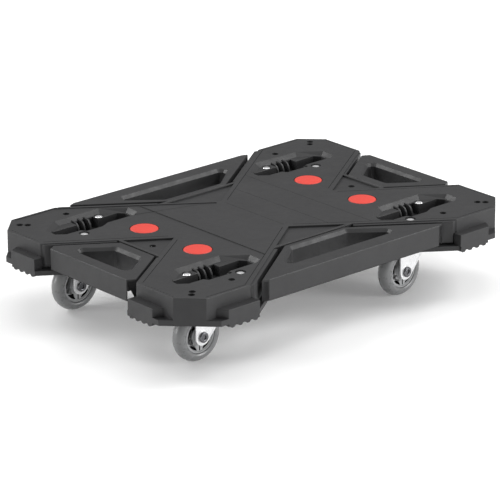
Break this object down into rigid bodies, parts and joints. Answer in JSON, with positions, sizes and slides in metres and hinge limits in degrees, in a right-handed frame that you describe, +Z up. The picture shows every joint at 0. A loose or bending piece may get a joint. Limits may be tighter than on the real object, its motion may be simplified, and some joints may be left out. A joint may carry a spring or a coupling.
{
  "type": "platform dolly",
  "caption": "Low rectangular moulded platform on swivel casters, with side hand grips, coupling ledges at its corners and round anti-slip pads.",
  "frame": {"origin": "on the ground under the middle of the platform, at the bottom centre of the bounding box", "axes": "+X along the platform's long side, +Y to its left, +Z up"},
  "size_m": [0.628, 0.444, 0.1238],
  "materials": {
    "deck_plastic": "fine matte moulded texture, charcoal black",
    "grip_plastic": "fine matte moulded texture, charcoal black",
    "pad_rubber": "soft satin red",
    "zinc": "bright zinc plate",
    "bright_steel": "bright plated",
    "hub_plastic": "satin light grey",
    "tyre_rubber": "smooth grey, slightly translucent"
  },
  "bodies": {
    "deck": {"deck_frame": "deck_plastic", "grip_front": "grip_plastic", "grip_rear": "grip_plastic", "grip_left": "grip_plastic", "grip_right": "grip_plastic", "anti_slip_pad_front_right": "pad_rubber", "top_plate_front_right": "zinc", "kingpin_front_right": "bright_steel", "ledge_rivet_front_right": "bright_steel", "top_rivet_front_right": "bright_steel", "plate_screw_left_front_right": "bright_steel", "plate_screw_right_front_right": "bright_steel", "anti_slip_pad_front_left": "pad_rubber", "top_plate_front_left": "zinc", "kingpin_front_left": "bright_steel", "ledge_rivet_front_left": "bright_steel", "top_rivet_front_left": "bright_steel", "plate_screw_left_front_left": "bright_steel", "plate_screw_right_front_left": "bright_steel", "anti_slip_pad_rear_right": "pad_rubber", "top_plate_rear_right": "zinc", "kingpin_rear_right": "bright_steel", "ledge_rivet_rear_right": "bright_steel", "top_rivet_rear_right": "bright_steel", "plate_screw_left_rear_right": "bright_steel", "plate_screw_right_rear_right": "bright_steel", "anti_slip_pad_rear_left": "pad_rubber", "top_plate_rear_left": "zinc", "kingpin_rear_left": "bright_steel", "ledge_rivet_rear_left": "bright_steel", "top_rivet_rear_left": "bright_steel", "plate_screw_left_rear_left": "bright_steel", "plate_screw_right_rear_left": "bright_steel"},
    "swivel_front_right": {"swivel_race_front_right": "zinc", "fork_front_right": "zinc", "axle_bolt_front_right": "bright_steel", "axle_nut_front_right": "bright_steel"},
    "wheel_front_right": {"wheel_hub_front_right": "hub_plastic", "tyre_front_right": "tyre_rubber"},
    "swivel_front_left": {"swivel_race_front_left": "zinc", "fork_front_left": "zinc", "axle_bolt_front_left": "bright_steel", "axle_nut_front_left": "bright_steel"},
    "wheel_front_left": {"wheel_hub_front_left": "hub_plastic", "tyre_front_left": "tyre_rubber"},
    "swivel_rear_right": {"swivel_race_rear_right": "zinc", "fork_rear_right": "zinc", "axle_bolt_rear_right": "bright_steel", "axle_nut_rear_right": "bright_steel"},
    "wheel_rear_right": {"wheel_hub_rear_right": "hub_plastic", "tyre_rear_right": "tyre_rubber"},
    "swivel_rear_left": {"swivel_race_rear_left": "zinc", "fork_rear_left": "zinc", "axle_bolt_rear_left": "bright_steel", "axle_nut_rear_left": "bright_steel"},
    "wheel_rear_left": {"wheel_hub_rear_left": "hub_plastic", "tyre_rear_left": "tyre_rubber"}
  },
  "joints": [
    {"name": "swivel_turn_front_right", "type": "hinge", "parent": "deck", "child": "swivel_front_right", "pos_m": [0.1873, -0.1296, 0.09], "axis": [0, 0, 1], "continuous": true},
    {"name": "wheel_spin_front_right", "type": "hinge", "parent": "swivel_front_right", "child": "wheel_front_right", "pos_m": [0.15419, -0.13203, 0.0375], "axis": [-0.0732, 0.9973, 0], "continuous": true},
    {"name": "swivel_turn_front_left", "type": "hinge", "parent": "deck", "child": "swivel_front_left", "pos_m": [0.1873, 0.1296, 0.09], "axis": [0, 0, 1], "continuous": true},
    {"name": "wheel_spin_front_left", "type": "hinge", "parent": "swivel_front_left", "child": "wheel_front_left", "pos_m": [0.1541, 0.1296, 0.0375], "axis": [0, 1, 0], "continuous": true},
    {"name": "swivel_turn_rear_right", "type": "hinge", "parent": "deck", "child": "swivel_rear_right", "pos_m": [-0.1873, -0.1296, 0.09], "axis": [0, 0, 1], "continuous": true},
    {"name": "wheel_spin_rear_right", "type": "hinge", "parent": "swivel_rear_right", "child": "wheel_rear_right", "pos_m": [-0.2205, -0.12937, 0.0375], "axis": [0.007, 1, 0], "continuous": true},
    {"name": "swivel_turn_rear_left", "type": "hinge", "parent": "deck", "child": "swivel_rear_left", "pos_m": [-0.1873, 0.1296, 0.09], "axis": [0, 0, 1], "continuous": true},
    {"name": "wheel_spin_rear_left", "type": "hinge", "parent": "swivel_rear_left", "child": "wheel_rear_left", "pos_m": [-0.22049, 0.13058, 0.0375], "axis": [0.0297, 0.9996, 0], "continuous": true}
  ]
}
